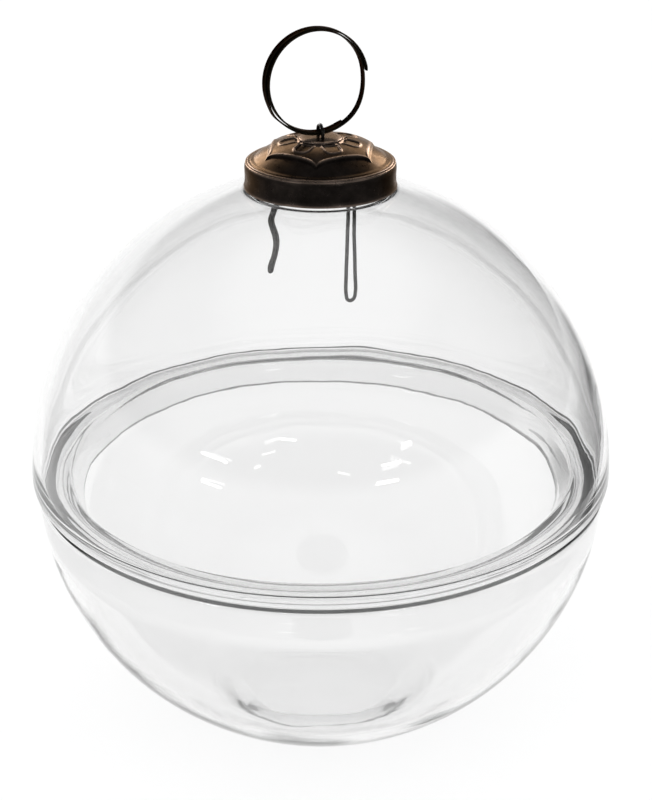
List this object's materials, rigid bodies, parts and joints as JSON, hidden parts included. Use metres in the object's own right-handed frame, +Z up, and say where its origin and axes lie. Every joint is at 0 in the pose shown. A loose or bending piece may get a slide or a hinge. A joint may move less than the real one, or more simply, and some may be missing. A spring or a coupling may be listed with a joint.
{
  "type": "glass ball ornament",
  "caption": "Glass ball that opens: a domed lid on a round bowl, with a stamped metal neck cap, a wire spring clip and a hanging ring.",
  "frame": {"origin": "centre of the flat base face that the bowl stands on", "axes": "+Z up along the ball's axis, -Y towards the viewer, +X to the viewer's right"},
  "size_m": [0.2, 0.2, 0.2467],
  "materials": {
    "bowl_glass": "clear, fire polished",
    "lid_glass": "clear, fire polished",
    "bronze_cap": "antique bronze, satin",
    "spring_wire": "dull drawn wire",
    "dark_ring": "blackened strip, rubbed"
  },
  "bodies": {
    "bowl": {"glass_bowl": "bowl_glass"},
    "lid": {"glass_lid": "lid_glass"},
    "cap": {"neck_cap": "bronze_cap", "spring_clip": "spring_wire"},
    "ring": {"split_ring": "dark_ring"}
  },
  "joints": [
    {"name": "lid_lift", "type": "slide", "parent": "bowl", "child": "lid", "axis": [0, 0, 1], "range_m": [0, 0.12]},
    {"name": "cap_turn", "type": "hinge", "parent": "lid", "child": "cap", "pos_m": [0, 0, 0.2], "axis": [0, 0, 1], "continuous": true},
    {"name": "ring_swing", "type": "hinge", "parent": "cap", "child": "ring", "pos_m": [0, 0, 0.21299], "axis": [0.9397, 0.342, 0], "range_deg": [-95, 95]}
  ]
}
